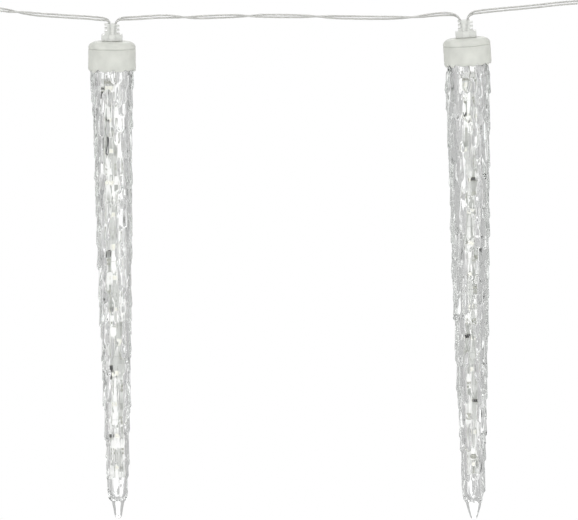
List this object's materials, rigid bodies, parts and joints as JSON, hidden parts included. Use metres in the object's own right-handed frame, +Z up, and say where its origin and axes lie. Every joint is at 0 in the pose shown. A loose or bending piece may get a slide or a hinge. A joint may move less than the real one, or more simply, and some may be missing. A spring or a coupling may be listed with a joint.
{
  "type": "icicle light string",
  "caption": "Hanging light string of clear drip-textured plastic icicle tubes with LED strips inside, capped and hung from one clear twin lead with tied end loops.",
  "frame": {"origin": "outermost point of the left end loop, where the string hangs from a hook", "axes": "+X along the lead from the left end loop towards the right one, +Y to the back of the string, +Z up, so that the tubes hang towards -Z"},
  "size_m": [0.4064, 0.0296, 0.3308],
  "materials": {
    "clear_plastic": "clear, polished",
    "frosted_plastic": "frosted, translucent",
    "lead_plastic": "clear insulation over tinned wire",
    "strip_white": "white solder mask",
    "led_white": "satin"
  },
  "bodies": {
    "root": {"left_tube": "clear_plastic", "left_cap_lid": "frosted_plastic", "left_cap_collar": "frosted_plastic", "left_strain_relief": "frosted_plastic", "left_led_strip": "strip_white", "left_led_01": "led_white", "left_led_02": "led_white", "left_led_03": "led_white", "left_led_04": "led_white", "left_led_05": "led_white", "left_led_06": "led_white", "left_led_07": "led_white", "left_led_08": "led_white", "left_led_09": "led_white", "left_led_10": "led_white", "left_led_11": "led_white", "left_led_12": "led_white", "left_led_13": "led_white", "left_inner_lead_a": "lead_plastic", "left_inner_lead_b": "lead_plastic", "right_tube": "clear_plastic", "right_cap_lid": "frosted_plastic", "right_cap_collar": "frosted_plastic", "right_strain_relief": "frosted_plastic", "right_led_strip": "strip_white", "right_led_01": "led_white", "right_led_02": "led_white", "right_led_03": "led_white", "right_led_04": "led_white", "right_led_05": "led_white", "right_led_06": "led_white", "right_led_07": "led_white", "right_led_08": "led_white", "right_led_09": "led_white", "right_led_10": "led_white", "right_led_11": "led_white", "right_led_12": "led_white", "right_led_13": "led_white", "right_inner_lead_a": "lead_plastic", "right_inner_lead_b": "lead_plastic", "lead_left_a": "lead_plastic", "lead_left_b": "lead_plastic", "lead_middle_a": "lead_plastic", "lead_middle_b": "lead_plastic", "lead_right_a": "lead_plastic", "lead_right_b": "lead_plastic", "knot_left": "lead_plastic", "end_loop_left": "lead_plastic", "knot_right": "lead_plastic", "end_loop_right": "lead_plastic"}
  },
  "joints": []
}
